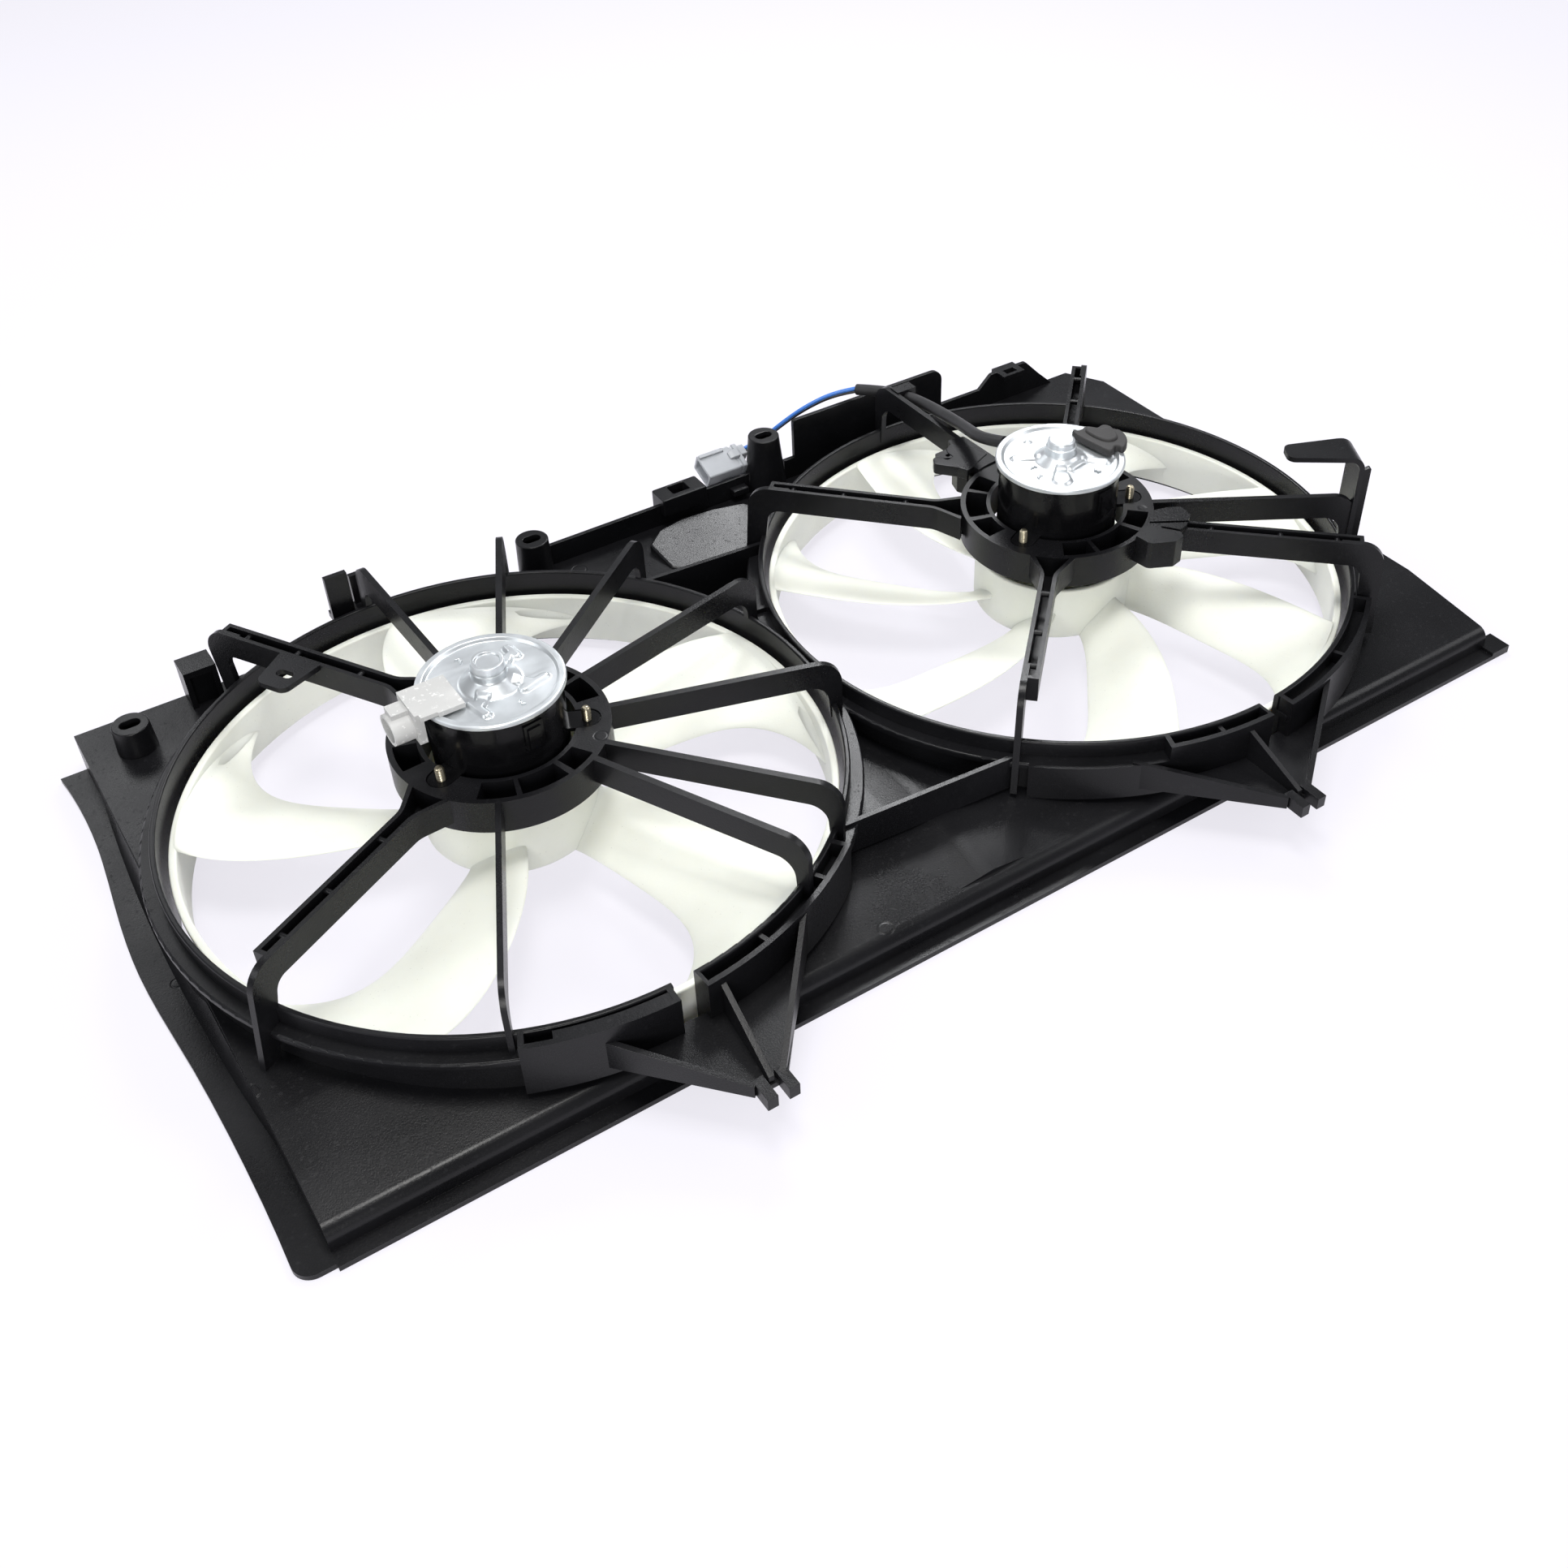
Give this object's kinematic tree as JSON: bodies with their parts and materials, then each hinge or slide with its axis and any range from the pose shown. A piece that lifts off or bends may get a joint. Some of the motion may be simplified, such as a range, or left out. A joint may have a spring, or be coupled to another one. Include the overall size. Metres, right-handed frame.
{
  "type": "radiator cooling fan assembly",
  "caption": "Radiator shroud moulding with spoked motor mounts, electric motors and banded axial fans that draw air through its rings.",
  "frame": {"origin": "centre of the bounding box at the radiator face", "axes": "+X along the radiator towards the second fan, +Y towards the back wall with the bolt bosses, +Z away from the radiator along the fan axes"},
  "size_m": [0.7398, 0.4482, 0.1255],
  "materials": {
    "black_moulding": "satin moulded black plastic with a fine grain",
    "motor_case": "glossy black paint on drawn steel",
    "end_plate": "zinc-plated pressing",
    "ferrite": "dull dark ferrite",
    "sintered_bronze": "oil-soaked bronze",
    "phenolic_card": "brown laminate",
    "carbon": "pressed carbon",
    "yellow_zinc_screw": "yellow-passivated steel",
    "grey_socket": "light grey moulded plastic",
    "rubber_cover": "dark grey rubber",
    "lead_sleeve": "black tape-wrapped sleeve",
    "blue_insulation": "blue wire insulation",
    "black_insulation": "black wire insulation",
    "natural_fan_plastic": "natural cream plastic that lets light through",
    "ground_steel": "ground and zinc-plated steel",
    "lamination_steel": "stacked electrical steel",
    "copper_winding": "copper",
    "clear_grey_plug": "smoky translucent plastic"
  },
  "bodies": {
    "shroud": {"shroud_pan_left": "black_moulding", "shroud_pan_right": "black_moulding", "fan_ring_left": "black_moulding", "fan_ring_right": "black_moulding", "radiator_bolt_bosses": "black_moulding", "front_rail_arm_left": "black_moulding", "mount_arms_left": "black_moulding", "mount_arms_right": "black_moulding", "motor_mount_left": "black_moulding", "motor_mount_right": "black_moulding", "radiator_fork_left": "black_moulding", "radiator_fork_right": "black_moulding", "back_wall": "black_moulding", "cross_ribs": "black_moulding", "cable_guides": "black_moulding", "harness_hook": "black_moulding", "motor_can_left": "motor_case", "motor_can_right": "motor_case", "motor_end_plate_left": "end_plate", "motor_end_plate_right": "end_plate", "motor_magnets_left": "ferrite", "motor_magnets_right": "ferrite", "motor_bushes_left": "sintered_bronze", "motor_bushes_right": "sintered_bronze", "brush_card_left": "phenolic_card", "brush_card_right": "phenolic_card", "carbon_brushes_left": "carbon", "carbon_brushes_right": "carbon", "motor_screws_left": "yellow_zinc_screw", "motor_screws_right": "yellow_zinc_screw", "motor_socket_left": "grey_socket", "lead_grommet_right": "rubber_cover", "lead_sleeve": "lead_sleeve", "lead_wire_blue": "blue_insulation", "lead_wire_black": "black_insulation", "lead_plug": "clear_grey_plug"},
    "left_fan": {"fan_left": "natural_fan_plastic", "motor_shaft_left": "ground_steel", "armature_core_left": "lamination_steel", "armature_windings_left": "copper_winding", "commutator_left": "copper_winding", "fan_nut_left": "ground_steel"},
    "right_fan": {"fan_right": "natural_fan_plastic", "motor_shaft_right": "ground_steel", "armature_core_right": "lamination_steel", "armature_windings_right": "copper_winding", "commutator_right": "copper_winding", "fan_nut_right": "ground_steel"}
  },
  "joints": [
    {"name": "fan_left_spin", "type": "hinge", "parent": "shroud", "child": "left_fan", "pos_m": [-0.17608, 0.0129, 0.022], "axis": [0, 0, 1], "continuous": true},
    {"name": "fan_right_spin", "type": "hinge", "parent": "shroud", "child": "right_fan", "pos_m": [0.17062, 0.0045, 0.022], "axis": [0, 0, 1], "continuous": true}
  ]
}
